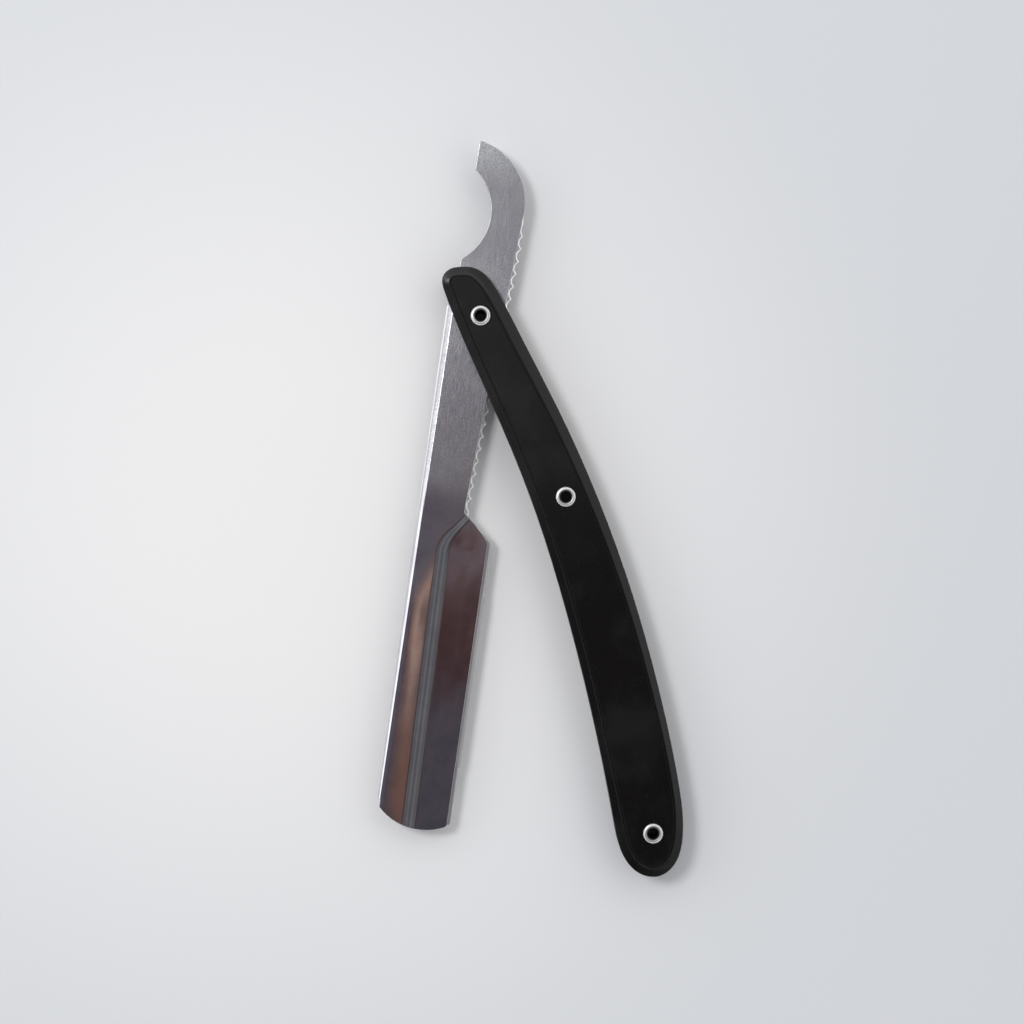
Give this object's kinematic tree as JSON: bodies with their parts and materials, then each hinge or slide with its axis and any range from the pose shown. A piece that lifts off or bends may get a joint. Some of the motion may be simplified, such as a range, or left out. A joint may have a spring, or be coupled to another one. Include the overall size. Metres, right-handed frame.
{
  "type": "straight razor",
  "caption": "Folding straight razor with a black plastic handle, hollow eyelets and a swing-open steel holder that clamps a half blade.",
  "frame": {"origin": "on the pivot axis, halfway through the thickness of the blade holder", "axes": "+X from the pivot eyelet to the end eyelet, +Y to the handle's convex back, +Z out of the front scale along the pivot axis; the holder rests 26.9 degrees open"},
  "size_m": [0.1635, 0.0724, 0.008],
  "materials": {
    "scale_plastic": "moulded black plastic, satin, slightly worn",
    "spacer_plastic": "moulded black plastic, matte",
    "leaf_steel": "satin brushed neck and tail, polished head",
    "eyelet_nickel": "bright nickel plating",
    "hardware_steel": "plain zinc-plated steel",
    "washer_brass": "plain turned brass",
    "blade_steel": "thin ground stainless steel"
  },
  "bodies": {
    "handle": {"front_scale": "scale_plastic", "rear_scale": "scale_plastic", "pivot_eyelet": "eyelet_nickel", "middle_eyelet": "eyelet_nickel", "end_eyelet": "eyelet_nickel", "pivot_eyelet_washer": "hardware_steel", "middle_eyelet_washer": "hardware_steel", "end_eyelet_washer": "hardware_steel", "middle_sleeve": "hardware_steel", "end_spacer": "spacer_plastic", "front_pivot_washer": "washer_brass", "rear_pivot_washer": "washer_brass"},
    "carrier": {"rear_leaf": "leaf_steel", "leaf_spacer": "washer_brass", "half_blade": "blade_steel", "blade_stud_heel": "hardware_steel", "blade_stud_middle": "hardware_steel", "blade_stud_toe": "hardware_steel"},
    "cover": {"front_leaf": "leaf_steel"}
  },
  "joints": [
    {"name": "arm_pivot", "type": "hinge", "parent": "handle", "child": "carrier", "pos_m": [0, 0, 0], "axis": [0, 0, 1], "range_deg": [-285, 25.5]},
    {"name": "cover_pivot", "type": "hinge", "parent": "carrier", "child": "cover", "pos_m": [0, 0, 0], "axis": [0, 0, 1], "range_deg": [-20, 0]}
  ]
}
